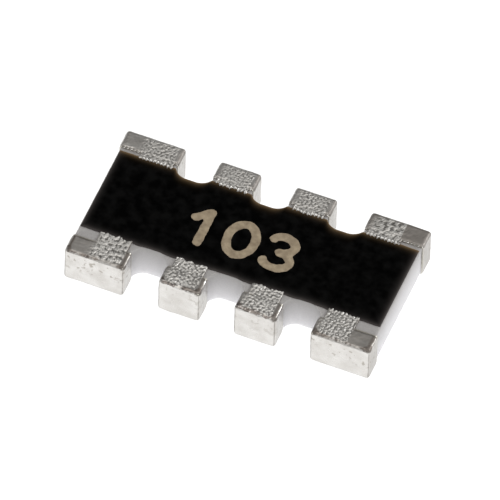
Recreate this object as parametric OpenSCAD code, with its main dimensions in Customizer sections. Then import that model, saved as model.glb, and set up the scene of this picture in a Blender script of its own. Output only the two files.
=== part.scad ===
// Chip resistor array: thick-film resistors side by side on one notched ceramic plate,
// each with a wrap-around solder terminal at both ends.
// Lengths are in millimetres. The origin is at the centre of the seating plane.
// +X runs along the rows of terminals, +Y from the near row to the far row, +Z up.

/* [Ceramic plate] */
// Length of the plate, along the rows of terminals
plate_length = 3.18; // [3.06:0.01:3.4]
// Width of the plate, from row to row
plate_width = 1.59; // [1.5:0.01:1.8]
// Thickness of the plate
plate_thickness = 0.4; // [0.25:0.01:0.6]
// Chamfer that the scored break lines leave along the outer edges
score_chamfer = 0.01; // [0.004:0.001:0.03]

/* [Notches] */
// Distance between the centres of neighbouring terminals
pitch = 0.8; // [0.72:0.01:0.84]
// Width of a notch between two lands
notch_width = 0.4; // [0.32:0.01:0.44]
// Depth of a notch, from the plate's long edge
notch_depth = 0.33; // [0.22:0.005:0.35]
// Radius of the inner corners of a notch
notch_radius = 0.15; // [0.05:0.01:0.16]

/* [Printed electrodes] */
// Width of a printed electrode
print_width = 0.31; // [0.2:0.01:0.36]
// Thickness of a printed electrode
print_thickness = 0.006; // [0.004:0.001:0.009]
// Gap between the inner ends of two facing electrodes, which a resistor film bridges
print_gap = 0.5; // [0.3:0.01:0.6]
// Depth of an underside electrode, from the plate's long edge
underside_depth = 0.28; // [0.22:0.01:0.4]

/* [Terminals] */
// Depth of the edge electrode on the top and the underside, from the plate's long edge
wrap_depth = 0.2; // [0.1:0.01:0.22]
// Thickness of the edge electrode
wrap_thickness = 0.01; // [0.01:0.001:0.02]
// Rounding of the edge electrode's outer edges
wrap_round = 0.026; // [0.006:0.001:0.03]
// Thickness of the nickel barrier
nickel_thickness = 0.004; // [0.003:0.001:0.01]
// Thickness of the tin plating
tin_thickness = 0.006; // [0.003:0.001:0.015]

/* [Resistors] */
// Width of a resistor film
film_width = 0.29; // [0.2:0.01:0.32]
// Thickness of a resistor film
film_thickness = 0.007; // [0.005:0.001:0.008]
// Overlap of a film's end on the electrode under it
film_overlap = 0.06; // [0.03:0.01:0.08]
// Thickness of the glass over a film
glass_thickness = 0.004; // [0.003:0.001:0.006]
// Margin of the glass around a film
glass_margin = 0.02; // [0.01:0.005:0.03]
// Width of the cut that trims a film to its value
trim_width = 0.03; // [0.02:0.005:0.05]
// Length of the trimming cut, from the side of the film
trim_length = 0.14; // [0.05:0.01:0.18]

/* [Overcoat] */
// Width of the overcoat, from row to row
coat_width = 1.02; // [1:0.01:1.1]
// Offset of the overcoat towards the far row
coat_shift = 0.04; // [-0.04:0.005:0.04]
// Thickness of the overcoat above the plate
coat_thickness = 0.024; // [0.022:0.001:0.04]
// Thickness of the overcoat at its thin edges
coat_edge = 0.011; // [0.01:0.001:0.02]
// Width of the slope from a thin edge to the full thickness
coat_slope = 0.1; // [0.05:0.01:0.12]

/* [Hidden] */
// Resistors in the array, one column of terminals each
columns = 4;
$fn = 48;

plating = nickel_thickness + tin_thickness;
plate_bottom = wrap_thickness + plating;
plate_top = plate_bottom + plate_thickness;
front = -plate_width / 2;
film_end = print_gap / 2 + film_overlap;
// How far a cut runs past the faces that it opens
past = 0.1;

ceramic_white = [0.91, 0.9, 0.87];
coat_black = [0.06, 0.06, 0.06];
film_grey = [0.2, 0.19, 0.18];
glass_green = [0.32, 0.4, 0.33];
silver_print = [0.8, 0.79, 0.76];
silver_edge = [0.7, 0.7, 0.69];
nickel_grey = [0.62, 0.6, 0.55];
tin_grey = [0.76, 0.76, 0.75];

// Terminals count along the near row from -X, then back along the far row
function column_of(terminal) = terminal <= columns ? terminal - 1 : 2 * columns - terminal;
function is_far(terminal) = terminal > columns;
function column_x(column) = (column - (columns - 1) / 2) * pitch;
function notch_x(gap) = (gap - columns / 2) * pitch;
// A land runs from one notch to the next, or to the end of the plate
function land_start(column) = column == 0 ? -plate_length / 2 : notch_x(column) + notch_width / 2;
function land_end(column) = column == columns - 1 ? plate_length / 2 : notch_x(column + 1) - notch_width / 2;
// Distance of the overcoat's edge from the middle of the plate, on a terminal's side
function coat_reach(terminal) = coat_width / 2 + (is_far(terminal) ? coat_shift : -coat_shift);

// Shapes are drawn for the near row, and turned over for a terminal of the far row
module on_row_of(terminal) {
    mirror([0, is_far(terminal) ? 1 : 0, 0])
        children();
}

module block(from, to) {
    translate(from)
        cube(to - from);
}

module rounded_rectangle(from, to, radius) {
    translate(from + [radius, 0])
        square(to - from - [2 * radius, 0]);
    translate(from + [0, radius])
        square(to - from - [0, 2 * radius]);
    for (x = [from.x + radius, to.x - radius], y = [from.y + radius, to.y - radius])
        translate([x, y])
            circle(radius);
}

module chamfered_rectangle(from, to, chamfer) {
    polygon([
        [from.x + chamfer, from.y],
        [to.x - chamfer, from.y],
        [to.x, from.y + chamfer],
        [to.x, to.y - chamfer],
        [to.x - chamfer, to.y],
        [from.x + chamfer, to.y],
        [from.x, to.y - chamfer],
        [from.x, from.y + chamfer]
    ]);
}

// A profile whose flat coordinates are Y and Z, drawn out along X
module along_x(from, to) {
    translate([from, 0, 0])
        rotate([90, 0, 90])
            linear_extrude(to - from)
                children();
}

// A profile whose flat coordinates are X and Z, drawn out along Y
module along_y(from, to) {
    translate([0, to, 0])
        rotate([90, 0, 0])
            linear_extrude(to - from)
                children();
}

// The notches of both rows, each open past the plate's long edge
module notch_outlines() {
    outer = [-notch_width / 2, -past - notch_radius];
    inner = [notch_width / 2, notch_depth];
    for (gap = [1 : columns - 1], side = [0, 1])
        mirror([0, side])
            translate([notch_x(gap), front])
                rounded_rectangle(outer, inner, notch_radius);
}

module substrate() {
    end = plate_length / 2;
    color(ceramic_white)
        difference() {
            intersection() {
                along_x(-end, end)
                    chamfered_rectangle([front, plate_bottom], [-front, plate_top], score_chamfer);
                along_y(front, -front)
                    chamfered_rectangle([-end, plate_bottom], [end, plate_top], score_chamfer);
            }
            translate([0, 0, plate_bottom - past])
                linear_extrude(plate_thickness + 2 * past)
                    notch_outlines();
        }
}

module top_electrode(terminal) {
    x = column_x(column_of(terminal));
    color(silver_print)
        on_row_of(terminal)
            block(
                [x - print_width / 2, front + score_chamfer, plate_top],
                [x + print_width / 2, -print_gap / 2, plate_top + print_thickness]
            );
}

module bottom_electrode(terminal) {
    x = column_x(column_of(terminal));
    color(silver_print)
        on_row_of(terminal)
            block(
                [x - print_width / 2, front + score_chamfer, plate_bottom - print_thickness],
                [x + print_width / 2, front + underside_depth, plate_bottom]
            );
}

// The cut that a laser makes from one side of a film to bring it to its value
module trim_cut(column) {
    side = column_x(column) + film_width / 2;
    block(
        [side - trim_length, -trim_width / 2, plate_top - past],
        [side + glass_margin + past, trim_width / 2, plate_top + past]
    );
}

module resistor_film(n) {
    left = column_x(n - 1) - film_width / 2;
    right = left + film_width;
    over_print = plate_top + print_thickness + film_thickness;
    ends = [n, 2 * columns + 1 - n];
    color(film_grey)
        difference() {
            union() {
                block(
                    [left, -print_gap / 2, plate_top],
                    [right, print_gap / 2, plate_top + film_thickness]
                );
                for (terminal = ends)
                    on_row_of(terminal)
                        block(
                            [left, -film_end, plate_top],
                            [right, film_thickness - print_gap / 2, over_print]
                        );
            }
            for (terminal = ends)
                top_electrode(terminal);
            trim_cut(n - 1);
        }
}

module glass_layer(n) {
    x = column_x(n - 1);
    half_width = film_width / 2 + glass_margin;
    half_length = film_end + glass_margin;
    color(glass_green)
        difference() {
            block(
                [x - half_width, -half_length, plate_top],
                [x + half_width, half_length, plate_top + print_thickness + film_thickness + glass_thickness]
            );
            resistor_film(n);
            for (terminal = [n, 2 * columns + 1 - n])
                top_electrode(terminal);
            trim_cut(n - 1);
        }
}

// Section of the overcoat between two ends: thin at both edges, full in between
module coat_section(from, to) {
    polygon([
        [from, plate_top],
        [to, plate_top],
        [to, plate_top + coat_edge],
        [to - coat_slope, plate_top + coat_thickness],
        [from + coat_slope, plate_top + coat_thickness],
        [from, plate_top + coat_edge]
    ]);
}

module overcoat() {
    half_length = plate_length / 2 - score_chamfer;
    near_edge = -coat_reach(1);
    far_edge = coat_reach(2 * columns);
    color(coat_black)
        difference() {
            intersection() {
                along_x(-half_length, half_length)
                    coat_section(near_edge, far_edge);
                along_y(near_edge, far_edge)
                    coat_section(-half_length, half_length);
            }
            translate([0, 0, plate_top - past])
                linear_extrude(coat_thickness + 2 * past)
                    notch_outlines();
            for (terminal = [1 : 2 * columns])
                top_electrode(terminal);
            for (n = [1 : columns]) {
                resistor_film(n);
                glass_layer(n);
            }
        }
}

// The block that a terminal's wrapped edge fills, grown outwards by the layers plated on it
module wrapped_edge(terminal, growth) {
    column = column_of(terminal);
    skin = wrap_thickness + growth;
    round = wrap_round + growth;
    low = [land_start(column) - skin, front - skin, plate_bottom - skin];
    high = [land_end(column) + skin, front + wrap_depth + growth, plate_top + skin];
    // The back stays square, so its rounding lies behind the block
    behind = high.y + 2 * round;
    intersection() {
        along_y(low.y, high.y)
            rounded_rectangle([low.x, low.z], [high.x, high.z], round);
        along_x(low.x, high.x)
            rounded_rectangle([low.y, low.z], [behind, high.z], round);
        translate([0, 0, low.z])
            linear_extrude(high.z - low.z)
                rounded_rectangle([low.x, low.y], [high.x, behind], round);
    }
}

// Everything of a terminal outside the plate, up to a growth beyond the silver
module terminal_envelope(terminal, growth) {
    x = column_x(column_of(terminal));
    half_width = print_width / 2 + growth;
    wrapped_edge(terminal, growth);
    block(
        [x - half_width, front + score_chamfer, plate_top],
        [x + half_width, -coat_reach(terminal), plate_top + print_thickness + growth]
    );
    block(
        [x - half_width, front + score_chamfer, plate_bottom - print_thickness - growth],
        [x + half_width, front + underside_depth + growth, plate_bottom]
    );
}

module edge_electrode(terminal) {
    color(silver_edge)
        difference() {
            on_row_of(terminal)
                wrapped_edge(terminal, 0);
            substrate();
            top_electrode(terminal);
            bottom_electrode(terminal);
        }
}

module plated_layer(terminal, from, to) {
    difference() {
        on_row_of(terminal)
            terminal_envelope(terminal, to);
        on_row_of(terminal)
            terminal_envelope(terminal, from);
        substrate();
    }
}

module nickel_barrier(terminal) {
    color(nickel_grey)
        plated_layer(terminal, 0, nickel_thickness);
}

module tin_terminal(terminal) {
    color(tin_grey)
        plated_layer(terminal, nickel_thickness, plating);
}

substrate();
overcoat();
for (n = [1 : columns]) {
    resistor_film(n);
    glass_layer(n);
}
for (n = [1 : 2 * columns]) {
    top_electrode(n);
    bottom_electrode(n);
    edge_electrode(n);
    nickel_barrier(n);
    tin_terminal(n);
}
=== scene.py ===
"""Looks of the chip resistor network: grainy tin terminals, ceramic plate, overcoat and printed code.

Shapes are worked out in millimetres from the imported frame, and meshes are written in metres.
"""
import dataclasses
import itertools
import math
from types import SimpleNamespace

import bmesh
import bpy
import numpy as np
from mathutils import Matrix, Vector


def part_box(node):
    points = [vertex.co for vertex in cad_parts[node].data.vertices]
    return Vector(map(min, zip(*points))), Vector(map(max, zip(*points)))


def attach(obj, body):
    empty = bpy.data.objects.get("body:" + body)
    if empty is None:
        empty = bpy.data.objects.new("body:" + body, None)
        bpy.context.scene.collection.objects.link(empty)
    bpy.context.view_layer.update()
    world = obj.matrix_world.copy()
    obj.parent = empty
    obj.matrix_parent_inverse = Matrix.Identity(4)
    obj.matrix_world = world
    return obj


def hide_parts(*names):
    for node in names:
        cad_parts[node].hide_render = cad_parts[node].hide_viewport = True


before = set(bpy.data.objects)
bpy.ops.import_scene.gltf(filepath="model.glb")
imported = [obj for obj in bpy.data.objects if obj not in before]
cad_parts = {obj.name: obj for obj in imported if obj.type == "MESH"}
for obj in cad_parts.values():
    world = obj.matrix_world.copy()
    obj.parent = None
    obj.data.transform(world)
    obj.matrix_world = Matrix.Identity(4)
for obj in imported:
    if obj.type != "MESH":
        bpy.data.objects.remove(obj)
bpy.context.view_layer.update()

MM = 0.001
COLUMNS = 4
TERMINALS = range(1, 2 * COLUMNS + 1)
INNER = [number for number in TERMINALS if (number - 1) % COLUMNS not in (0, COLUMNS - 1)]


def box_mm(node):
    """Lowest and highest corner of a CAD node, in millimetres."""
    low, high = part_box(node)
    return np.array(low) / MM, np.array(high) / MM


def nearest_to_middle(node):
    """The least distance of a node's corners from the plane midway between the two rows, in millimetres."""
    return min(abs(corner.co.y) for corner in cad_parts[node].data.vertices) / MM


# Sizes of the part that the frame gives
plate_low, plate_high = box_mm("substrate")
coat_low, coat_high = box_mm("overcoat")
edge_low, edge_high = box_mm("edge_electrode_1")
nickel_low = box_mm("nickel_barrier_1")[0]
tin_low = box_mm("tin_terminal_1")[0]
inner_land_start = box_mm("edge_electrode_2")[0][0]
WRAP_SKIN = plate_low[2] - edge_low[2]
PLATING = edge_low[2] - tin_low[2]
TIN_SKIN = nickel_low[2] - tin_low[2]
NOTCH_WIDTH = inner_land_start - edge_high[0] + 2 * WRAP_SKIN
NOTCH_DEPTH = plate_high[1] - nearest_to_middle("substrate")
NOTCH_MIDDLES = [
    (box_mm(f"edge_electrode_{n}")[1][0] + box_mm(f"edge_electrode_{n + 1}")[0][0]) / 2
    for n in range(1, COLUMNS)
]

# Sizes that no node's box gives
NOTCH_RADIUS = 0.15
EDGE_ROUND = 0.036


# Repeatable noise

CELL_FACTORS = np.array([374761393, 668265263, 2147483647], np.uint64)
SEED_FACTOR = 974711
MIXES = ((np.uint64(13), np.uint64(1274126177)), (np.uint64(16), np.uint64(2246822519)))
LAST_SHIFT = np.uint64(15)
WORD = np.uint64(0xFFFFFFFF)
HALF_WORD = 0x7FFFFFFF
SEED_OFFSET = 0.37
WAVES = 36
WAVE_SPREAD = (0.7, 1.45)


def smooth_step(value, start, end):
    """0 up to the start, 1 from the end, and a smooth rise between them."""
    t = np.clip((value - start) / (end - start), 0, 1)
    return t * t * (3 - 2 * t)


def fade(distance, reach):
    """1 up to the first distance of a pair, and a smooth fall to 0 at the second."""
    return 1 - smooth_step(distance, *reach)


def lattice(cell, seed):
    """A repeatable random number from -1 to 1 for each cell of a grid."""
    mixed = (cell.astype(np.int64).astype(np.uint64) * CELL_FACTORS).sum(axis=1)
    mixed = (mixed + np.uint64(SEED_FACTOR * (seed + 1))) & WORD
    for shift, factor in MIXES:
        mixed = ((mixed ^ (mixed >> shift)) * factor) & WORD
    return (mixed ^ (mixed >> LAST_SHIFT)) / HALF_WORD - 1


def noise_at(points, wavelength, seed, octaves=1):
    """Smooth noise from about -1 to 1 at each point, with detail of a given wavelength in millimetres."""
    total = np.zeros(len(points))
    for octave in range(octaves):
        scaled = points / wavelength * 2.0**octave + SEED_OFFSET * seed
        cell = np.floor(scaled)
        part = scaled - cell
        eased = part * part * (3 - 2 * part)
        for corner in itertools.product((0, 1), repeat=3):
            weight = np.prod(np.where(corner, eased, 1 - eased), axis=1)
            total += weight * lattice(cell + corner, seed + 100 * octave) / 2**octave
    return total


def worms_at(points, spacing, seed):
    """Winding crests and pits, from about -1.5 to 1.5: waves of like spacing that run in all directions."""
    random = np.random.default_rng(seed)
    turns = random.uniform(0, 2 * math.pi, WAVES)
    rates = 2 * math.pi / (spacing * random.uniform(*WAVE_SPREAD, WAVES))
    starts = random.uniform(0, 2 * math.pi, WAVES)
    total = np.zeros(len(points))
    for turn, rate, start in zip(turns, rates, starts):
        along = points[:, 0] * math.cos(turn) + points[:, 1] * math.sin(turn)
        total += np.cos(rate * along + start)
    return total * math.sqrt(2 / WAVES)


# Meshes

BEVEL_SEGMENTS = 4


def mesh_arrays(mesh):
    """The points of a mesh and its normals there."""
    points = np.zeros(len(mesh.vertices) * 3)
    mesh.vertices.foreach_get("co", points)
    normals = np.zeros(len(mesh.vertices) * 3)
    mesh.vertex_normals.foreach_get("vector", normals)
    return points.reshape(-1, 3), normals.reshape(-1, 3)


def set_points(mesh, points):
    mesh.vertices.foreach_set("co", points.astype(np.float32).ravel())
    mesh.update()


def set_attribute(mesh, name, values):
    attribute = mesh.attributes.new(name, "FLOAT", "POINT")
    attribute.data.foreach_set("value", np.asarray(values, np.float32))


def add_box(bm, low, high, rounding):
    """Adds a box to a bmesh, with rounded edges if a rounding is given."""
    low, high = np.array(low), np.array(high)
    corners = bmesh.ops.create_cube(bm, size=1)["verts"]
    for corner in corners:
        corner.co = Vector((low + high) / 2 + np.array(corner.co) * (high - low))
    if rounding:
        edges = list({edge for corner in corners for edge in corner.link_edges})
        bmesh.ops.bevel(
            bm, geom=edges, offset=rounding, segments=BEVEL_SEGMENTS, profile=0.5, affect="EDGES"
        )


def mesh_from(bm, name):
    mesh = bpy.data.meshes.new(name)
    bm.to_mesh(mesh)
    bm.free()
    return mesh


def object_from(bm, name):
    piece = bpy.data.objects.new(name, mesh_from(bm, name))
    bpy.context.scene.collection.objects.link(piece)
    return piece


def take_mesh(piece):
    """The mesh of an object with its modifiers applied. The object is removed."""
    graph = bpy.context.evaluated_depsgraph_get()
    mesh = bpy.data.meshes.new_from_object(piece.evaluated_get(graph))
    bpy.data.objects.remove(piece)
    return mesh


def even_mesh(bm, voxel):
    """One even skin round everything in a bmesh."""
    piece = object_from(bm, "even")
    remesh = piece.modifiers.new("even", "REMESH")
    remesh.mode = "VOXEL"
    remesh.voxel_size = voxel
    return take_mesh(piece)


def cut_away(mesh, boxes):
    """The mesh without what lies inside boxes, each given as its low corner, high corner and rounding."""
    piece = bpy.data.objects.new("cut", mesh)
    bpy.context.scene.collection.objects.link(piece)
    tools = []
    for low, high, rounding in boxes:
        bm = bmesh.new()
        add_box(bm, low, high, rounding)
        tools.append(object_from(bm, "cutter"))
        boolean = piece.modifiers.new("cut", "BOOLEAN")
        boolean.operation = "DIFFERENCE"
        boolean.solver = "MANIFOLD"
        boolean.object = tools[-1]
    result = take_mesh(piece)
    for tool in tools:
        bpy.data.objects.remove(tool)
    return result


def add_piece(name, mesh, material, replaced=None):
    """Makes a mesh in millimetres a piece of the part."""
    mesh.transform(Matrix.Scale(MM, 4))
    mesh.materials.clear()
    mesh.materials.append(material)
    mesh.shade_smooth()
    piece = bpy.data.objects.new(name, mesh)
    bpy.context.scene.collection.objects.link(piece)
    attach(piece, "root")
    if replaced:
        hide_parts(replaced)


# Shader nodes

# The range that holds most values of a noise texture
NOISE_LOW, NOISE_HIGH = 0.3, 0.7
BUMP_DETAIL = 3.0


def new_material(name):
    material = bpy.data.materials.new(name)
    material.use_nodes = True
    tree = material.node_tree
    return material, tree, tree.nodes["Principled BSDF"]


def put(tree, kind, inputs=(), **settings):
    """Adds a shader node, with values or links for its inputs."""
    node = tree.nodes.new(kind)
    for key, value in settings.items():
        setattr(node, key, value)
    for key, value in dict(inputs).items():
        if isinstance(value, bpy.types.NodeSocket):
            tree.links.new(value, node.inputs[key])
        else:
            node.inputs[key].default_value = value
    return node


def millimetres(tree):
    """Coordinates on the piece, in millimetres."""
    place = put(tree, "ShaderNodeTexCoord").outputs["Object"]
    return put(tree, "ShaderNodeVectorMath", {0: place, "Scale": 1 / MM}, operation="SCALE").outputs[0]


def attribute(tree, name):
    return put(tree, "ShaderNodeAttribute", attribute_name=name).outputs["Fac"]


def grain(tree, place, per_mm, detail):
    """Noise with so many features in a millimetre."""
    inputs = {"Vector": place, "Scale": per_mm, "Detail": detail}
    return put(tree, "ShaderNodeTexNoise", inputs).outputs["Fac"]


def ramp(tree, value, low, high, out_low=0.0, out_high=1.0):
    """A value moved from one range to another, and kept inside it."""
    inputs = {"Value": value, "From Min": low, "From Max": high, "To Min": out_low, "To Max": out_high}
    return put(tree, "ShaderNodeMapRange", inputs).outputs["Result"]


def blend(tree, share, first, second):
    """A colour between two, where each may be a colour or a socket."""
    mix = put(tree, "ShaderNodeMix", data_type="RGBA")
    for socket, value in ((mix.inputs[0], share), (mix.inputs[6], first), (mix.inputs[7], second)):
        if isinstance(value, bpy.types.NodeSocket):
            tree.links.new(value, socket)
        else:
            socket.default_value = (*value, 1.0)
    return mix.outputs[2]


def mottle(tree, place, first, second, per_mm, detail, low=NOISE_LOW, high=NOISE_HIGH):
    """A colour that noise blends from one to another."""
    return blend(tree, ramp(tree, grain(tree, place, per_mm, detail), low, high), first, second)


def vary(tree, place, per_mm, detail, least, most):
    """A number that noise varies between two."""
    return ramp(tree, grain(tree, place, per_mm, detail), NOISE_LOW, NOISE_HIGH, least, most)


def roughen(tree, shader, place, per_mm, depth, strength):
    """Gives a shader fine bumps of a depth in millimetres."""
    height = grain(tree, place, per_mm, BUMP_DETAIL)
    node = put(tree, "ShaderNodeBump", {"Height": height, "Distance": depth * MM, "Strength": strength})
    tree.links.new(node.outputs["Normal"], shader.inputs["Normal"])


# Materials


def tin_material():
    """Matte tin: bright and grainy over the print, smooth and a little stained elsewhere, with painted shade
    in pits and along edges, and painted highlight flecks.
    """
    material, tree, shader = new_material("tin")
    place = millimetres(tree)
    smooth, pale, grainy = (0.66, 0.64, 0.61), (0.77, 0.755, 0.73), (0.87, 0.86, 0.835)
    # Of the next three colours, the first is real staining, and the other two are painted shade for the
    # grain's pits and for the edges
    stain, pit_shade_colour, painted_shade = (0.40, 0.37, 0.33), (0.25, 0.243, 0.23), (0.22, 0.195, 0.175)
    # The brow colours are stain with dark spots, partly a painted dark reflection of the lip; the last
    # colour is a painted highlight
    brow, blot, painted_glint = (0.32, 0.287, 0.265), (0.19, 0.167, 0.153), (0.88, 0.84, 0.82)
    grain_share, edge_shade_share = attribute(tree, "grain"), attribute(tree, "edge")
    turn, stretch = (0, 0, math.radians(-50)), (0.3, 1, 0.35)
    inputs = {"Vector": place, "Rotation": turn, "Scale": stretch}
    brushed = put(tree, "ShaderNodeMapping", inputs).outputs[0]
    colour = mottle(tree, brushed, smooth, pale, per_mm=22.0, detail=3.0, low=0.35, high=0.65)
    colour = blend(tree, attribute(tree, "stain"), colour, stain)
    colour = blend(tree, grain_share, colour, grainy)
    # Painted shade in the grain's pits
    colour = blend(tree, attribute(tree, "pit_shade"), colour, pit_shade_colour)
    # Where the top meets the front: stain with dark spots, partly a painted dark reflection on the lip, and
    # painted highlight flecks
    speckled = mottle(tree, place, brow, blot, per_mm=18.0, detail=2.0, low=0.50, high=0.62)
    speckled = mottle(tree, place, speckled, painted_glint, per_mm=30.0, detail=1.0, low=0.56, high=0.70)
    colour = blend(tree, attribute(tree, "brow"), colour, speckled)
    # Painted shade along the block's edges, round the smooth top and between beads
    colour = blend(tree, edge_shade_share, colour, painted_shade)
    tree.links.new(colour, shader.inputs["Base Color"])
    shader.inputs["Metallic"].default_value = 1.0
    shader.inputs["Specular Tint"].default_value = (0.72, 0.72, 0.72, 1)
    roughness = vary(tree, place, per_mm=35.0, detail=2.0, least=0.26, most=0.36)
    grain_adds, edge_adds = 0.20, 0.30
    for share, adds in ((grain_share, grain_adds), (edge_shade_share, edge_adds)):
        inputs = {0: share, 1: adds, 2: roughness}
        roughness = put(tree, "ShaderNodeMath", inputs, operation="MULTIPLY_ADD").outputs[0]
    tree.links.new(roughness, shader.inputs["Roughness"])
    roughen(tree, shader, place, per_mm=140.0, depth=0.001, strength=0.3)
    return material


def ceramic_material():
    """Fired alumina: finely granular and warm grey; paler low down, a painted glow of the floor's light
    seeping in.
    """
    material, tree, shader = new_material("alumina")
    place = millimetres(tree)
    top_dark, top_light = (0.44, 0.43, 0.43), (0.50, 0.49, 0.485)
    # The paler pair of colours paints the light that the floor sends up through the ceramic
    floor_lit_dark, floor_lit_light = (0.75, 0.745, 0.77), (0.80, 0.79, 0.81)
    upper = mottle(tree, place, top_dark, top_light, per_mm=60.0, detail=4.0)
    lower = mottle(tree, place, floor_lit_dark, floor_lit_light, per_mm=60.0, detail=4.0)
    # Painted light: the colour grows paler towards the bottom
    height = put(tree, "ShaderNodeSeparateXYZ", {0: place}).outputs["Z"]
    share = ramp(tree, height, plate_low[2], plate_high[2])
    lag, seep = 1.6, 0.1
    share = put(tree, "ShaderNodeMath", {0: share, 1: lag}, operation="POWER").outputs[0]
    tree.links.new(blend(tree, share, lower, upper), shader.inputs["Base Color"])
    shader.inputs["Roughness"].default_value = 0.6
    shader.inputs["Specular IOR Level"].default_value = 0.3
    shader.inputs["Subsurface Weight"].default_value = 0.5
    shader.inputs["Subsurface Radius"].default_value = (1, 1, 1)
    shader.inputs["Subsurface Scale"].default_value = seep * MM
    roughen(tree, shader, place, per_mm=90.0, depth=0.0015, strength=0.5)
    return material


def coat_material():
    """Black overcoat: paler where it thins out at its near edge and ends, and brown at its far edge."""
    material, tree, shader = new_material("overcoat")
    place = millimetres(tree)
    darkest, dark = (0.0002, 0.0002, 0.0002), (0.0045, 0.0045, 0.0045)
    thin, brown = (0.09, 0.081, 0.078), (0.29, 0.195, 0.105)
    colour = mottle(tree, place, darkest, dark, per_mm=9.0, detail=5.0, low=0.40, high=0.65)
    colour = blend(tree, attribute(tree, "thin"), colour, thin)
    colour = blend(tree, attribute(tree, "brown"), colour, brown)
    tree.links.new(colour, shader.inputs["Base Color"])
    roughness = vary(tree, place, per_mm=25.0, detail=3.0, least=0.42, most=0.55)
    tree.links.new(roughness, shader.inputs["Roughness"])
    shader.inputs["Specular IOR Level"].default_value = 0.025
    roughen(tree, shader, place, per_mm=60.0, depth=0.001, strength=0.4)
    return material


def ink_material():
    """Tan marking ink, mottled and a little thin in places."""
    material, tree, shader = new_material("marking_ink")
    place = millimetres(tree)
    dark, light, worn = (0.30, 0.237, 0.165), (0.48, 0.395, 0.275), (0.24, 0.19, 0.13)
    colour = mottle(tree, place, dark, light, per_mm=16.0, detail=4.0, low=0.32, high=0.68)
    colour = mottle(tree, place, colour, worn, per_mm=70.0, detail=3.0, low=0.62, high=0.80)
    tree.links.new(colour, shader.inputs["Base Color"])
    shader.inputs["Roughness"].default_value = 0.65
    shader.inputs["Specular IOR Level"].default_value = 0.25
    roughen(tree, shader, place, per_mm=80.0, depth=0.001, strength=0.5)
    return material


def layer_material(name, dark, light, metallic, roughness):
    """A thin inner layer: mottled between two shades."""
    material, tree, shader = new_material(name)
    place = millimetres(tree)
    colour = mottle(tree, place, dark, light, per_mm=50.0, detail=3.0)
    tree.links.new(colour, shader.inputs["Base Color"])
    shader.inputs["Metallic"].default_value = metallic
    spread = 0.08
    least, most = roughness - spread, roughness + spread
    varied = vary(tree, place, per_mm=80.0, detail=2.0, least=least, most=most)
    tree.links.new(varied, shader.inputs["Roughness"])
    roughen(tree, shader, place, per_mm=120.0, depth=0.001, strength=0.5)
    return material


# Finish of the terminals

COARSE_GRAIN = 0.037
WIDE_GRAIN = 1.55 * COARSE_GRAIN


@dataclasses.dataclass
class Finish:
    """How a terminal's plating turned out: at first, as on an outer terminal of the near row.

    Lengths are in millimetres. Darkness and the painted shade of pits are shares from 0 to 1.
    """

    # Relief of the grain, of the rim and of the beads
    grain_spacing: float = COARSE_GRAIN
    coarse_rise: float = 0.0026
    fine_rise: float = 0.0018
    rim_rise: float = 0.006
    bead_rise: float = 0.003
    # Where the grain starts, from the -X side of the print
    grain_start: float = -0.08
    # Size of the stain and painted dark reflection where the top meets the front
    brow_width: float = 0.05
    brow_height: float = 0.017
    # Darkness of the stain spots on the sides, and painted shade of the rings on the top and of the whole
    # smooth top
    spots: float = 0.85
    left_ring: float = 0.95
    back_ring: float = 0.75
    top_shade: float = 0.35
    # Painted shade in the grain's pits: share everywhere, share that depth adds, and the depths where that
    # starts and ends
    pit_base: float = 0.0
    pit_gain: float = 0.9
    pit_depths: tuple = (-0.7, 1.5)


FAR_ROW = {
    "coarse_rise": 0.0017,
    "fine_rise": 0.0016,
    "rim_rise": 0.0015,
    "bead_rise": 0.017,
    "brow_width": 0.02,
    "brow_height": 0.016,
    "top_shade": 0.0,
    "pit_base": 0.25,
    "pit_gain": 0.65,
    "pit_depths": (0.1, 1.4),
}
INNER_PLACE = {"grain_start": -0.06, "spots": 0.4, "left_ring": 0.15, "back_ring": 0.5, "top_shade": 0.0}
NEAR_LEFT = {
    "grain_spacing": WIDE_GRAIN,
    "brow_width": 0.035,
    "brow_height": 0.011,
    "pit_base": 0.05,
    "pit_gain": 0.95,
    "pit_depths": (0.1, 1.3),
}
NEAR_RIGHT = {"pit_base": 0.15, "pit_gain": 0.72}
FAR_RIGHT = {"grain_spacing": WIDE_GRAIN, "coarse_rise": 0.0023, "pit_gain": 0.75, "top_shade": 0.85}
OWN_CHANGES = {1: NEAR_LEFT, COLUMNS: NEAR_RIGHT, COLUMNS + 1: FAR_RIGHT}


def finish_of(number):
    """The finish of a terminal, with the changes for its row, for its place there and for itself."""
    changes = {}
    if number > COLUMNS:
        changes.update(FAR_ROW)
    if number in INNER:
        changes.update(INNER_PLACE)
    changes.update(OWN_CHANGES.get(number, {}))
    return Finish(**changes)


# Terminals

TERMINAL_VOXEL = 0.005
INTO_PLATE = 0.05
OVER_COAT = 0.014
CUT_OVER_COAT = 0.05

# First seed of each kind of noise, to which a terminal adds its number
SEEDS = {
    "coarse_grain": 0,
    "grit": 0,
    "grain_edge": 3,
    "grain_drift": 6,
    "dimples": 20,
    "spots": 25,
    "spot_groups": 35,
    "edge_lines": 40,
    "brow": 50,
    "brow_sway": 55,
    "unevenness": 60,
    "swell": 70,
    "pit_groups": 75,
    "coat_end": 80,
    "beads": 85,
    "rim": 90,
    "fine_grain": 200,
}

# Wavelengths of relief and marks
FINE_GRAIN = 0.025
GRIT_WAVE = 0.021
DIMPLE_WAVE = 0.02
SPOT_WAVE = 0.035
COAT_END_WAVE = 0.045
RAGGED_WAVE = 0.05
GRAIN_EDGE_WAVE = 0.07
BEAD_WAVE = 0.07
UNEVEN_WAVE = 0.1
SWELL_WAVE = 0.13
LONG_WAVE = 0.2
GRAIN_DRIFT_WAVE = 0.25

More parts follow.
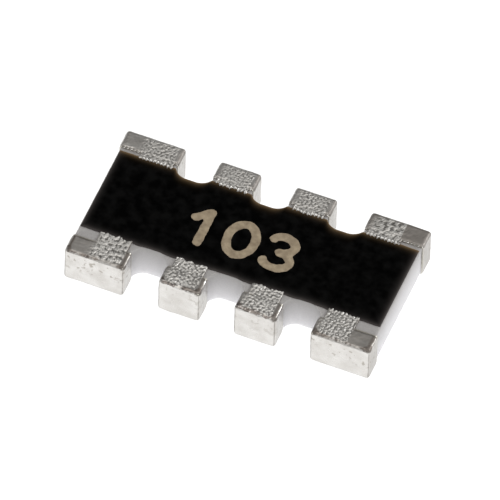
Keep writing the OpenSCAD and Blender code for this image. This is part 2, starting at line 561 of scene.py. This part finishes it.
# Heights of relief. The swell is a factor on the crests of the grain.
SWELL_MEAN = 0.6375
SWELL_SWING = 0.34
GRAIN_LIFT = 0.001
GRIT_RISE = 0.0019
DIMPLE_RISE = 0.0005
UNEVEN_RISE = 0.0022
DEEPEST = 0.6 * TIN_SKIN

# Where the grain starts and ends
GRAIN_FADE = 0.11
GRAIN_RIGHT = (0.002, 0.012)
GRAIN_FRONT = (0.015, 0.055)
WANDER_ACROSS = 0.025
WANDER_ALONG = 0.012
DRIFT = 2
FAINT_GRAIN = 0.18
FAINT_FRONT = (0.02, 0.05)
COAT_END = (-0.03, 0.0)
COAT_END_RAGGED = 0.014

# Painted shade in the pits of the grain
FINE_PITS = 0.5
PIT_GROUPS = 0.5
GRIT_PITS = 0.7

# Beads: their spacing, how they swell along a row, and where the rows lie
BEAD_PITCH = 0.037
BEAD_SHIFT = 0.005
BEAD_SWELL = (-0.4, 0.7)
BEAD_REACH = (0.006, 0.022)
BEAD_FLOOR = 0.005
BEAD_OVERHANG = 0.009
BACK_BEADS = 1.2
BEAD_CLEARS = 0.6

# The lumpy rim of the top, and the stain and painted dark reflection there
RIM = (0.01, 0.035)
BROW_RAGGED = 0.015
BROW_SWAY = 0.008
BROW_TOP_FADE = 0.025
BROW_FRONT_FADE = 0.01
BROW_CORNER = 0.05
BROW_CORNER_REACH = (0.02, 0.09)

# Spots on the sides
SPOTS_START = (0.03, 0.07)
SPOTS_END = (0.2, 0.3)
SPOT_GROUPS = 0.6
SPOT_LEVELS = (0.4, 1.0)

# Painted dark lines down the upright edges of the wrapped block, a painted contact shadow along its bottom
# edges, and duller ends
EDGE_WANDER = 0.008
UPRIGHT_DARK, UPRIGHT_WANDER, UPRIGHT_LINE = 0.85, 0.4, (0.006, 0.021)
LEVEL_DARK, LEVEL_WANDER, LEVEL_LINE = 0.9, 0.5, (0.006, 0.025)
END_DARK, END_REACH, END_TOP = 0.16, (0.008, 0.02), (0.01, 0.04)

# Painted shade on the smooth top: rings and corners that dim its reflection and shorten its glints
FLAT_DEPTH = 0.02
LEFT_START, LEFT_END = (0.024, 0.036), (0.045, 0.065)
RIGHT_START, RIGHT_END = (0.011, 0.019), (0.04, 0.07)
RIGHT_DARK, RIGHT_WANDER = 0.8, 0.5
BACK_END = (0.02, 0.045)
CORNER_END = (0.02, 0.045)
NEAR_CORNER_DARK, NEAR_CORNER_WANDER, NEAR_CORNER_DEPTH = 0.85, 3, (0.055, 0.085)
FAR_CORNER_DARK = 0.7
FAR_RING_DARK = 0.4
BETWEEN_BEADS_DARK, BETWEEN_BEADS_REACH = 0.85, (0.02, 0.04)


def in_order(first, second):
    return min(first, second), max(first, second)


class Terminal:
    """Where a terminal's surfaces lie, in millimetres, and how its tin looks there."""

    def __init__(self, number):
        self.number = number
        self.near = number <= COLUMNS
        self.out = -1 if self.near else 1
        self.finish = finish_of(number)
        self.tin = box_mm(f"tin_terminal_{number}")
        self.edge = box_mm(f"edge_electrode_{number}")
        self.top_print = box_mm(f"top_electrode_{number}")
        self.under_print = box_mm(f"bottom_electrode_{number}")
        self.front = self.tin[0][1] if self.near else self.tin[1][1]
        self.wrap_back = self.inner(self.edge) - self.out * PLATING
        self.coat_edge = coat_low[1] if self.near else coat_high[1]
        self.top = self.edge[1][2] + PLATING

    def inner(self, box):
        """The side of a box that faces the middle of the plate."""
        return box[1][1] if self.near else box[0][1]

    def noise(self, points, wavelength, kind, octaves=1):
        return noise_at(points, wavelength, SEEDS[kind] + self.number, octaves)

    def worms(self, points, spacing, kind):
        return worms_at(points, spacing, SEEDS[kind] + self.number)

    def distances(self, points):
        """How far points lie inside each face of the wrapped block."""
        x, y, z = points.T
        low, high = self.edge[0] - PLATING, self.edge[1] + PLATING
        return SimpleNamespace(
            left=x - low[0],
            right=high[0] - x,
            ends=np.minimum(x - low[0], high[0] - x),
            front=self.out * (self.front - y),
            back=self.out * (y - self.wrap_back),
            base=z - low[2],
            top=self.top - z,
        )

    def blocks(self, growth, over_coat):
        """The wrapped edge and both tongues of the print, grown by a plating."""
        front = self.front + self.out * (growth - PLATING)
        y0, y1 = in_order(front, self.inner(self.edge) - self.out * growth)
        low = (self.edge[0][0] - growth, y0, self.edge[0][2] - growth)
        high = (self.edge[1][0] + growth, y1, self.edge[1][2] + growth)
        wrap = (low, high, EDGE_ROUND - PLATING + growth)
        middle = (front + self.wrap_back) / 2
        x0, x1 = self.top_print[0][0] - growth, self.top_print[1][0] + growth
        y0, y1 = in_order(middle, self.coat_edge - self.out * over_coat)
        low, high = (x0, y0, plate_high[2] - INTO_PLATE), (x1, y1, self.top_print[1][2] + growth)
        upper = (low, high, growth)
        y0, y1 = in_order(middle, self.inner(self.under_print) - self.out * growth)
        low, high = (x0, y0, self.under_print[0][2] - growth), (x1, y1, plate_low[2] + INTO_PLATE)
        lower = (low, high, 0)
        return [wrap, upper, lower]

    def inside(self):
        """What the tin goes round: the nickel and the plate."""
        low, high = self.edge[0] + WRAP_SKIN, self.edge[1] - WRAP_SKIN
        y0, y1 = in_order(self.front - self.out * (PLATING + WRAP_SKIN), 0)
        plate = ((low[0], y0, plate_low[2]), (high[0], y1, plate_high[2]), 0)
        return self.blocks(PLATING - TIN_SKIN, CUT_OVER_COAT) + [plate]

    def grain_share(self, points):
        """How grainy the tin is: 1 over the top print, fading to the front and -X, with an end at +X."""
        x, y, z = points.T
        wander = self.noise(points, GRAIN_EDGE_WAVE, "grain_edge", 3)
        wander += DRIFT * self.noise(points, GRAIN_DRIFT_WAVE, "grain_drift")
        from_left = x - self.top_print[0][0]
        from_right = self.top_print[1][0] + PLATING - x
        from_front = self.out * (self.front - y)
        start = self.finish.grain_start
        across = smooth_step(from_left + WANDER_ACROSS * wander, start, start + GRAIN_FADE)
        across *= smooth_step(from_right, *GRAIN_RIGHT)
        along = smooth_step(from_front + WANDER_ALONG * wander, *GRAIN_FRONT)
        share = (z > plate_high[2]) * across * along
        if self.near:
            return share
        on_top = self.top - z < EDGE_ROUND
        return np.maximum(share, FAINT_GRAIN * smooth_step(from_front, *FAINT_FRONT) * on_top)

    def pit_shade_share(self, points):
        """How much painted shade the tin gets in the pits between the crests of its grain, away from the
        beads.
        """
        depth = -self.worms(points, self.finish.grain_spacing, "coarse_grain")
        depth -= FINE_PITS * self.worms(points, FINE_GRAIN, "fine_grain")
        depth -= GRIT_PITS * self.noise(points, GRIT_WAVE, "grit", 2)
        depth += PIT_GROUPS * self.noise(points, UNEVEN_WAVE, "pit_groups")
        pit_shade = self.finish.pit_base + self.finish.pit_gain * smooth_step(depth, *self.finish.pit_depths)
        return pit_shade * (1 - np.minimum(self.bead_share(points), 1))

    def bead_row(self, points):
        """Beads at an uneven spacing along a row: 1 on each, and 0 between them."""
        along = points[:, 0] + BEAD_SHIFT * self.noise(points * [1, 0, 0], BEAD_WAVE, "beads")
        return smooth_step(np.cos(2 * math.pi * along / BEAD_PITCH), *BEAD_SWELL)

    def bead_share(self, points):
        """Where the tin has grown into beads: at the overcoat and, in the far row, at its own inner edge."""
        above = points[:, 2] > plate_high[2] + BEAD_FLOOR
        from_coat = np.abs(points[:, 1] - self.coat_edge + self.out * BEAD_OVERHANG)
        row = fade(from_coat, BEAD_REACH)
        if not self.near:
            from_back = np.abs(points[:, 1] - self.wrap_back)
            row += BACK_BEADS * fade(from_back, BEAD_REACH) * (1 - self.grain_share(points))
        return above * self.bead_row(points) * row

    def rim_share(self, points):
        """How near points lie to the top's edge on the -Y side, where the plating is lumpy."""
        at = self.distances(points)
        facing = at.front if self.near else np.abs(at.back)
        return fade(np.maximum(facing, at.top), RIM)

    def brow_share(self, points):
        """How dark the tin is where the top meets the front: a stain band that is partly a painted dark
        reflection on the rounded lip. It ends raggedly.
        """
        at = self.distances(points)
        ragged = BROW_RAGGED * self.noise(points, RAGGED_WAVE, "brow", 3)
        ragged += BROW_SWAY * self.noise(points, LONG_WAVE, "brow_sway")
        width = self.finish.brow_width
        if self.near:
            width = width + BROW_CORNER * fade(at.ends, BROW_CORNER_REACH)
        on_top = smooth_step(width + ragged - at.front, 0, BROW_TOP_FADE)
        return on_top * smooth_step(self.finish.brow_height + ragged - at.top, 0, BROW_FRONT_FADE)

    def stain_share(self, points):
        """How stained the tin is by spots on the upper half of its sides."""
        at = self.distances(points)
        band = smooth_step(at.top, *SPOTS_START) * fade(at.top, SPOTS_END)
        spots = self.noise(points, SPOT_WAVE, "spots", 2)
        spots += SPOT_GROUPS * self.noise(points, LONG_WAVE, "spot_groups")
        return self.finish.spots * band * smooth_step(spots, *SPOT_LEVELS)

    def edge_shade_share(self, points):
        """Painted shade on the tin: dark lines along the block's edges, rings and corners that dim its
        smooth top and glints, shade between beads, and duller plate ends.
        """
        at = self.distances(points)
        wander = EDGE_WANDER * self.noise(points, RAGGED_WAVE, "edge_lines", 2)
        # Painted dark lines down the upright edges, and a painted contact shadow along the bottom edges
        upright = fade(np.maximum(at.front, at.ends) + UPRIGHT_WANDER * wander, UPRIGHT_LINE)
        level = fade(np.maximum(at.front, at.base) + LEVEL_WANDER * wander, LEVEL_LINE)
        marks = [UPRIGHT_DARK * upright, LEVEL_DARK * level, self.end_share(points)]
        smooth_top = (at.top < FLAT_DEPTH) * (1 - self.grain_share(points))
        left = smooth_step(at.left + wander, *LEFT_START) * fade(at.left + wander, LEFT_END)
        left *= self.finish.left_ring
        corner = fade(np.maximum(at.right, at.top) + wander, CORNER_END)
        if self.near:
            marks += self.near_marks(at, wander, smooth_top, left, corner)
            return np.maximum.reduce(marks)
        # Painted shade on the far row's smooth top, its ring, its +X corner glint and between its beads
        marks += [self.finish.top_shade * smooth_top, FAR_RING_DARK * smooth_top * left]
        marks += [FAR_CORNER_DARK * corner, self.between_beads(points, at)]
        return np.maximum.reduce(marks) * (1 - np.minimum(self.bead_share(points) / BEAD_CLEARS, 1))

    def near_marks(self, at, wander, smooth_top, left, corner):
        """Painted shade of the ring on a near terminal's smooth top, and of its front corner on the +X side,
        which shortens the glint there.
        """
        right = smooth_step(at.right + RIGHT_WANDER * wander, *RIGHT_START)
        right *= fade(at.right + wander, RIGHT_END)
        back = fade(at.back + wander, BACK_END)
        ring = np.maximum.reduce([left, RIGHT_DARK * right, self.finish.back_ring * back]) * smooth_top
        ring = 1 - (1 - ring) * (1 - self.finish.top_shade * smooth_top)
        depth = at.front + NEAR_CORNER_WANDER * wander
        return [ring, NEAR_CORNER_DARK * corner * fade(depth, NEAR_CORNER_DEPTH)]

    def between_beads(self, points, at):
        """Painted shade between the beads of a far terminal's inner edge."""
        beside = fade(np.maximum(np.abs(at.back), at.top), BETWEEN_BEADS_REACH)
        gaps = (1 - self.bead_row(points)) * (1 - self.grain_share(points))
        return BETWEEN_BEADS_DARK * gaps * beside

    def end_share(self, points):
        """How much duller the tin is on the plate's short ends."""
        x, _, z = points.T
        from_end = np.minimum(x - tin_low[0], -tin_low[0] - x)
        return END_DARK * fade(from_end, END_REACH) * smooth_step(self.top - z, *END_TOP)

    def relief(self, points):
        """How far the tin stands out from its smooth form."""
        finish = self.finish
        swell = SWELL_MEAN + SWELL_SWING * self.noise(points, SWELL_WAVE, "swell", 2)
        crests = finish.coarse_rise * self.worms(points, finish.grain_spacing, "coarse_grain")
        crests += finish.fine_rise * self.worms(points, FINE_GRAIN, "fine_grain")
        lumps = GRAIN_LIFT + swell * crests + GRIT_RISE * self.noise(points, GRIT_WAVE, "grit", 2)
        smooth = DIMPLE_RISE * self.noise(points, DIMPLE_WAVE, "dimples")
        smooth += UNEVEN_RISE * self.noise(points, UNEVEN_WAVE, "unevenness", 2)
        rim = finish.rim_rise * self.rim_share(points) * self.noise(points, RAGGED_WAVE, "rim", 3)
        beads = finish.bead_rise * self.bead_share(points)
        grainy = self.grain_share(points)
        rise = grainy * lumps + (1 - grainy) * smooth + rim + beads
        return np.maximum(rise, -DEEPEST)


def plated_mesh(terminal):
    """The outer form of a terminal, with the relief of its tin."""
    bm = bmesh.new()
    for low, high, rounding in terminal.blocks(PLATING, OVER_COAT):
        add_box(bm, low, high, rounding)
    mesh = even_mesh(bm, TERMINAL_VOXEL)
    points, normals = mesh_arrays(mesh)
    points = points + normals * terminal.relief(points)[:, None]
    # The grain ends raggedly on the overcoat
    at_coat = smooth_step(terminal.out * (terminal.coat_edge - points[:, 1]), *COAT_END)
    above = points[:, 2] > plate_high[2]
    ragged = COAT_END_RAGGED * terminal.noise(points * [1, 1, 0], COAT_END_WAVE, "coat_end", 2)
    points[:, 1] -= terminal.out * above * at_coat * ragged
    # Nothing reaches below the seating plane
    points[:, 2] = np.maximum(points[:, 2], tin_low[2])
    set_points(mesh, points)
    return mesh


def terminal_mesh(terminal):
    """The tin of a terminal, with the shares that its material reads."""
    mesh = cut_away(plated_mesh(terminal), terminal.inside())
    points, _ = mesh_arrays(mesh)
    grainy = terminal.grain_share(points)
    set_attribute(mesh, "grain", grainy)
    # Painted shade in the grain's pits
    set_attribute(mesh, "pit_shade", grainy * terminal.pit_shade_share(points))
    set_attribute(mesh, "stain", terminal.stain_share(points))
    # Stain and painted dark reflection where the top meets the front
    set_attribute(mesh, "brow", terminal.brow_share(points))
    # The edge attribute holds painted shade, and the duller plate ends
    set_attribute(mesh, "edge", terminal.edge_shade_share(points))
    return mesh


# Ceramic plate

PLATE_STEP = 0.03
ARC_STEP = math.radians(5)
BREAK_ROUND = 0.012
BREAK_ROUGHNESS = 0.003
BREAK_WAVE = 0.05
BREAK_SEED = 5
NOTCH_EDGE_ROUND = 0.004
TOUCHING = 1e-6

# Each ring of the wall: shares of the rounding that it lies inwards of the wall, and away from the flat
WALL_PROFILE = ((1.6, 0.0), (1.0, 0.0), (0.3, 0.3), (0.0, 1.0))


def arc(middle, radius, start, end):
    count = max(2, round(abs(end - start) / ARC_STEP))
    turns = np.linspace(start, end, count + 1)
    return [(middle[0] + radius * math.cos(t), middle[1] + radius * math.sin(t)) for t in turns]


def long_side():
    """One long side of the plate from -X to +X, with its notches, for the near row."""
    front = plate_low[1]
    floor = front + NOTCH_DEPTH - NOTCH_RADIUS
    half = NOTCH_WIDTH / 2
    points = [(plate_low[0], front)]
    for middle in NOTCH_MIDDLES:
        points.append((middle - half, front))
        points += arc((middle - half + NOTCH_RADIUS, floor), NOTCH_RADIUS, math.pi, math.pi / 2)
        points += arc((middle + half - NOTCH_RADIUS, floor), NOTCH_RADIUS, math.pi / 2, 0)
        points.append((middle + half, front))
    points.append((plate_high[0], front))
    return points


def plate_outline():
    """The outline counter-clockwise from the near left corner, in even short steps."""
    near = long_side()
    corners = np.array(near + [(-x, -y) for x, y in near])
    points = []
    for start, end in zip(corners, np.roll(corners, -1, axis=0)):
        count = max(1, math.ceil(np.linalg.norm(end - start) / PLATE_STEP))
        points += [start + (end - start) * i / count for i in range(count)]
    return np.array(points)


def outward(outline):
    """Directions out of an outline, at each of its points."""
    along = np.roll(outline, -1, axis=0) - np.roll(outline, 1, axis=0)
    along /= np.linalg.norm(along, axis=1, keepdims=True)
    return np.stack([along[:, 1], -along[:, 0]], axis=1)


def plate_mesh():
    """The plate: its straight sides are broken and rough, and its notches are moulded with finer edges."""
    outline = plate_outline()
    normal = outward(outline)
    past_sides = np.abs(outline) - plate_high[:2]
    broken = past_sides.max(axis=1) > -TOUCHING
    rounding = np.where(broken, BREAK_ROUND, NOTCH_EDGE_ROUND)
    rings = [(inwards, away, plate_low[2], 1) for inwards, away in WALL_PROFILE]
    rings += [(inwards, away, plate_high[2], -1) for inwards, away in reversed(WALL_PROFILE)]
    bm = bmesh.new()
    loops = []
    for inwards, away, flat, up in rings:
        level = flat + up * rounding * away
        points = np.column_stack([outline - normal * (rounding * inwards)[:, None], level])
        rough = BREAK_ROUGHNESS * noise_at(points, BREAK_WAVE, BREAK_SEED, 3) * broken
        points[:, :2] -= normal * np.maximum(rough, 0)[:, None]
        loops.append([bm.verts.new(p) for p in points])
    for below, above in zip(loops, loops[1:]):
        for i in range(len(below)):
            j = (i + 1) % len(below)
            bm.faces.new((below[i], below[j], above[j], above[i]))
    for loop in (loops[0], loops[-1]):
        ring = [bm.edges.get((loop[i - 1], loop[i])) for i in range(len(loop))]
        bmesh.ops.triangle_fill(bm, use_beauty=True, edges=ring)
    bmesh.ops.recalc_face_normals(bm, faces=bm.faces)
    return mesh_from(bm, "substrate")


# Overcoat

COAT_STEP = 0.012
COAT_ROWS = 110
ROWS_CROWDED = 0.5
COAT_EDGE = 0.011
COAT_SLOPE = 0.1
COAT_RIM = 0.012
RIM_HEIGHT = 0.45
COAT_WANDER = 0.007
COAT_WAVE = 0.16
RIPPLE = 0.0007
RIPPLE_WAVE = 0.22
NEAR_EDGE_SEED, FAR_EDGE_SEED, RIPPLE_SEED = 11, 12, 13
COAT_THIN = 0.02


def notch_floor(x):
    """How far from the middle of the plate the notches let the overcoat reach, at each x."""
    reach = np.full(len(x), np.inf)
    half = NOTCH_WIDTH / 2
    floor = -plate_low[1] - NOTCH_DEPTH
    for middle in NOTCH_MIDDLES:
        off = np.abs(x - middle)
        into_corner = np.clip(off - (half - NOTCH_RADIUS), 0, NOTCH_RADIUS)
        curve = floor + NOTCH_RADIUS - np.sqrt(NOTCH_RADIUS**2 - into_corner**2)
        reach = np.where(off < half, np.minimum(reach, curve), reach)
    return reach


def coat_edges(x):
    """The overcoat's near and far edge at each x: a little wavy, and clear of the notches."""
    line = np.column_stack([x, np.zeros_like(x), np.zeros_like(x)])
    limit = notch_floor(x)
    near = coat_low[1] + COAT_WANDER * noise_at(line, COAT_WAVE, NEAR_EDGE_SEED, 3)
    far = coat_high[1] + COAT_WANDER * noise_at(line, COAT_WAVE, FAR_EDGE_SEED, 3)
    return np.maximum(near, -limit), np.minimum(far, limit)


def coat_height(x, y, from_ends, from_rows):
    """The overcoat's height over the plate: a low rounded edge, then a slope up to its full thickness."""
    from_print = np.minimum(y - coat_low[1], coat_high[1] - y)
    inside = np.minimum(from_ends, np.maximum(from_print, 0))
    flat = np.column_stack([x.ravel(), y.ravel(), np.zeros(x.size)])
    ripple = (RIPPLE * noise_at(flat, RIPPLE_WAVE, RIPPLE_SEED, 2)).reshape(x.shape)
    rim = smooth_step(np.minimum(from_ends, from_rows), 0, COAT_RIM)
    edge = COAT_EDGE * (RIM_HEIGHT + (1 - RIM_HEIGHT) * rim)
    slope = (coat_high[2] - plate_high[2] - COAT_EDGE) * smooth_step(inside, 0, COAT_SLOPE)
    return edge + slope + ripple * rim


def vertex_rows(bm, x, y, z):
    """New corners of a mesh, in the rows and columns of three like arrays."""
    return [[bm.verts.new(corner) for corner in zip(*row)] for row in zip(x, y, z)]


def coat_mesh():
    """The overcoat, with the shares that say where it is thin or brown."""
    count = round((coat_high[0] - coat_low[0]) / COAT_STEP)
    column = np.linspace(coat_low[0], coat_high[0], count + 1)
    near, far = (edge[:, None] for edge in coat_edges(column))
    even = np.linspace(0, 1, COAT_ROWS + 1)
    crowded = (1 - np.cos(math.pi * even)) / 2
    y = near + (far - near) * (ROWS_CROWDED * crowded + (1 - ROWS_CROWDED) * even)
    x = np.repeat(column[:, None], COAT_ROWS + 1, axis=1)
    from_ends = np.minimum(x - coat_low[0], coat_high[0] - x)
    height = coat_height(x, y, from_ends, np.minimum(y - near, far - y))
    bm = bmesh.new()
    top = vertex_rows(bm, x, y, plate_high[2] + height)
    base = vertex_rows(bm, x, y, np.full_like(x, plate_high[2]))
    for i in range(count):
        for j in range(COAT_ROWS):
            bm.faces.new((top[i][j], top[i + 1][j], top[i + 1][j + 1], top[i][j + 1]))
            bm.faces.new((base[i][j], base[i][j + 1], base[i + 1][j + 1], base[i + 1][j]))
    for i in range(count):
        bm.faces.new((base[i][0], base[i + 1][0], top[i + 1][0], top[i][0]))
        bm.faces.new((base[i + 1][-1], base[i][-1], top[i][-1], top[i + 1][-1]))
    for j in range(COAT_ROWS):
        bm.faces.new((base[0][j + 1], base[0][j], top[0][j], top[0][j + 1]))
        bm.faces.new((base[-1][j], base[-1][j + 1], top[-1][j + 1], top[-1][j]))
    mesh = mesh_from(bm, "overcoat")
    for name, depth in (("thin", np.minimum(from_ends, y - near)), ("brown", far - y)):
        share = np.exp(-depth / COAT_THIN).ravel()
        set_attribute(mesh, name, np.concatenate([share, share]))
    return mesh


# Printed code: a generic resistance value

CODE = "103"
CODE_MIDDLE = (-0.065, -0.024)
DIGIT_WIDTH = 0.375
DIGIT_HEIGHT = 0.49
DIGIT_PITCH = 0.405
STROKE = 0.098
CURVE_STEPS = 28
INK_RISE = 0.004
INK_VOXEL = 0.009
INK_RAGGED = 0.006
INK_WAVE = 0.05
INK_SEED = 30
FILM_FLATNESS = 2.2


def curve_points(middle, radii, start, end):
    """Points along part of an ellipse, between two angles in degrees."""
    turns = np.radians(np.linspace(start, end, CURVE_STEPS + 1))
    return [(middle[0] + radii[0] * math.cos(t), middle[1] + radii[1] * math.sin(t)) for t in turns]


def digit_strokes(digit):
    """Middle lines of a digit's strokes, in a box round the origin that the strokes fill."""
    a = (DIGIT_WIDTH - STROKE) / 2
    b = (DIGIT_HEIGHT - STROKE) / 2
    if digit == "0":
        return [curve_points((0, 0), (a, b), 0, 360)]
    if digit == "1":
        stem = 0.15 * a
        flag = (-0.75 * a, 0.45 * b)
        return [[(stem, -b), (stem, b), flag]]
    if digit == "3":
        bowl = b / 2
        upper_width = 0.9 * a
        opening = 155
        upper = curve_points((0, bowl), (upper_width, bowl), opening, -90)
        lower = curve_points((0, -bowl), (a, bowl), 90, -opening)
        return [upper, lower]
    raise ValueError(digit)


def digit_mesh(digit, middle, seed):
    """A digit as a thin film of ink with soft ragged edges."""
    bm = bmesh.new()
    radius = STROKE / 2
    for stroke in digit_strokes(digit):
        for start, end in zip(stroke, stroke[1:]):
            steps = max(1, math.ceil(math.dist(start, end) / (radius / 2)))
            for i in range(steps + 1):
                x = start[0] + (end[0] - start[0]) * i / steps
                y = start[1] + (end[1] - start[1]) * i / steps
                place = Matrix.Translation((x, y, 0))
                bmesh.ops.create_icosphere(bm, subdivisions=2, radius=radius, matrix=place)
    mesh = even_mesh(bm, INK_VOXEL)
    points, normals = mesh_arrays(mesh)
    ragged = INK_RAGGED * noise_at(points * [1, 1, 0], INK_WAVE, seed, 3)
    points[:, :2] += normals[:, :2] * ragged[:, None]
    # A round stroke becomes a flat film
    film = np.clip(points[:, 2] / radius * FILM_FLATNESS, -1, 1)
    points[:, 2] = coat_high[2] + film * INK_RISE
    points[:, 0] += middle[0]
    points[:, 1] += middle[1]
    set_points(mesh, points)
    return mesh


# Camera, floor and light

PHOTO_WIDTH_PX = 500
ORIGIN_PX = (247.3, 267.8)
PX_PER_MM = 102.3
AZIMUTH = math.radians(20.75)
ELEVATION = math.radians(52.34)
ROLL = math.radians(1.92)
CAMERA_DISTANCE = 210
CLIP_START = CAMERA_DISTANCE / 20
CLIP_END = 10000
SENSOR = 36
FLOOR_SIZE = 400
FLOOR_DROP = 0.001
LIGHT_DISTANCE = 90
SKY_COLOUR = (1.0, 0.985, 0.965, 1)
SKY_STRENGTH = 0.205
WARM_WHITE = (1.0, 0.965, 0.92)


def camera_axes():
    """Right, up and back of the camera, turned by the photograph's small roll."""
    right = Vector((math.cos(AZIMUTH), math.sin(AZIMUTH), 0))
    flat = math.cos(ELEVATION)
    back = Vector((math.sin(AZIMUTH) * flat, -math.cos(AZIMUTH) * flat, math.sin(ELEVATION)))
    up = back.cross(right)
    turned = right * math.cos(ROLL) + up * math.sin(ROLL)
    return turned, back.cross(turned), back


def add_camera():
    right, up, back = camera_axes()
    middle = PHOTO_WIDTH_PX / 2
    aim = (right * (middle - ORIGIN_PX[0]) + up * (ORIGIN_PX[1] - middle)) / PX_PER_MM
    data = bpy.data.cameras.new("camera")
    data.sensor_width = SENSOR
    data.lens = SENSOR * CAMERA_DISTANCE * PX_PER_MM / PHOTO_WIDTH_PX
    data.clip_start = CLIP_START * MM
    data.clip_end = CLIP_END * MM
    camera = bpy.data.objects.new("camera", data)
    turn = Matrix((right, up, back)).transposed().to_4x4()
    camera.matrix_world = Matrix.Translation((aim + back * CAMERA_DISTANCE) * MM) @ turn
    bpy.context.scene.collection.objects.link(camera)
    bpy.context.scene.camera = camera


def add_floor():
    bm = bmesh.new()
    bmesh.ops.create_grid(bm, x_segments=1, y_segments=1, size=FLOOR_SIZE * MM)
    floor = object_from(bm, "floor")
    floor.location.z = -FLOOR_DROP * MM
    material, _, shader = new_material("floor")
    shader.inputs["Base Color"].default_value = (0.2, 0.2, 0.2, 1)
    shader.inputs["Roughness"].default_value = 0.9
    shader.inputs["Specular IOR Level"].default_value = 0.0
    shader.inputs["Emission Color"].default_value = (1, 1, 1, 1)
    shader.inputs["Emission Strength"].default_value = 1.0
    floor.data.materials.append(material)


def add_softbox(name, direction, width, height, radiance, colour=(1, 1, 1)):
    """A flat soft light that shines on the part from a direction."""
    data = bpy.data.lights.new(name, "AREA")
    data.shape = "RECTANGLE"
    data.color = colour
    data.size = width * MM
    data.size_y = height * MM
    data.energy = radiance * math.pi * width * height * MM * MM
    light = bpy.data.objects.new(name, data)
    place = Vector(direction).normalized()
    turn = place.to_track_quat("Z", "Y").to_matrix().to_4x4()
    light.matrix_world = Matrix.Translation(place * LIGHT_DISTANCE * MM) @ turn
    bpy.context.scene.collection.objects.link(light)


def add_light():
    world = bpy.data.worlds.new("studio")
    bpy.context.scene.world = world
    world.use_nodes = True
    sky = world.node_tree.nodes["Background"]
    sky.inputs["Color"].default_value = SKY_COLOUR
    sky.inputs["Strength"].default_value = SKY_STRENGTH
    add_softbox("overhead", (0.08, -0.14, 1.0), width=98, height=98, radiance=1.0, colour=WARM_WHITE)
    add_softbox("right_back", (0.68, 0.57, 0.46), width=27, height=27, radiance=11.0)
    add_softbox("left", (-1.0, -0.1, 0.55), width=60, height=45, radiance=0.8)
    add_softbox("front", (0.2, -1.0, 0.5), width=130, height=50, radiance=0.8)
    bpy.context.scene.view_settings.view_transform = "Standard"


# The pieces of the part

tin = tin_material()
for number in TERMINALS:
    add_piece(f"terminal_{number}", terminal_mesh(Terminal(number)), tin, f"tin_terminal_{number}")
add_piece("plate", plate_mesh(), ceramic_material(), "substrate")
add_piece("coat", coat_mesh(), coat_material(), "overcoat")
ink = ink_material()
for place, digit in enumerate(CODE):
    middle = (CODE_MIDDLE[0] + (place - (len(CODE) - 1) / 2) * DIGIT_PITCH, CODE_MIDDLE[1])
    add_piece(f"code_{place + 1}", digit_mesh(digit, middle, INK_SEED + place), ink)

# The hidden layers keep their solids and get materials
silver_dark, silver_light = (0.62, 0.60, 0.56), (0.78, 0.77, 0.74)
INNER_LAYERS = {
    "resistor_film": layer_material("resistor_film", (0.02, 0.019, 0.018), (0.05, 0.046, 0.04), 0.0, 0.6),
    "glass_layer": layer_material("glass_layer", (0.20, 0.27, 0.21), (0.28, 0.34, 0.28), 0.0, 0.25),
    "top_electrode": layer_material("silver_print", silver_dark, silver_light, 1.0, 0.5),
    "bottom_electrode": layer_material("silver_print_under", silver_dark, silver_light, 1.0, 0.5),
    "edge_electrode": layer_material("silver_edge", (0.50, 0.49, 0.47), (0.66, 0.65, 0.63), 1.0, 0.5),
    "nickel_barrier": layer_material("nickel", (0.48, 0.46, 0.41), (0.60, 0.58, 0.52), 1.0, 0.4),
}
for name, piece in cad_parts.items():
    layer = name.rsplit("_", 1)[0]
    if layer in INNER_LAYERS:
        piece.data.materials.clear()
        piece.data.materials.append(INNER_LAYERS[layer])

add_floor()
add_light()
add_camera()
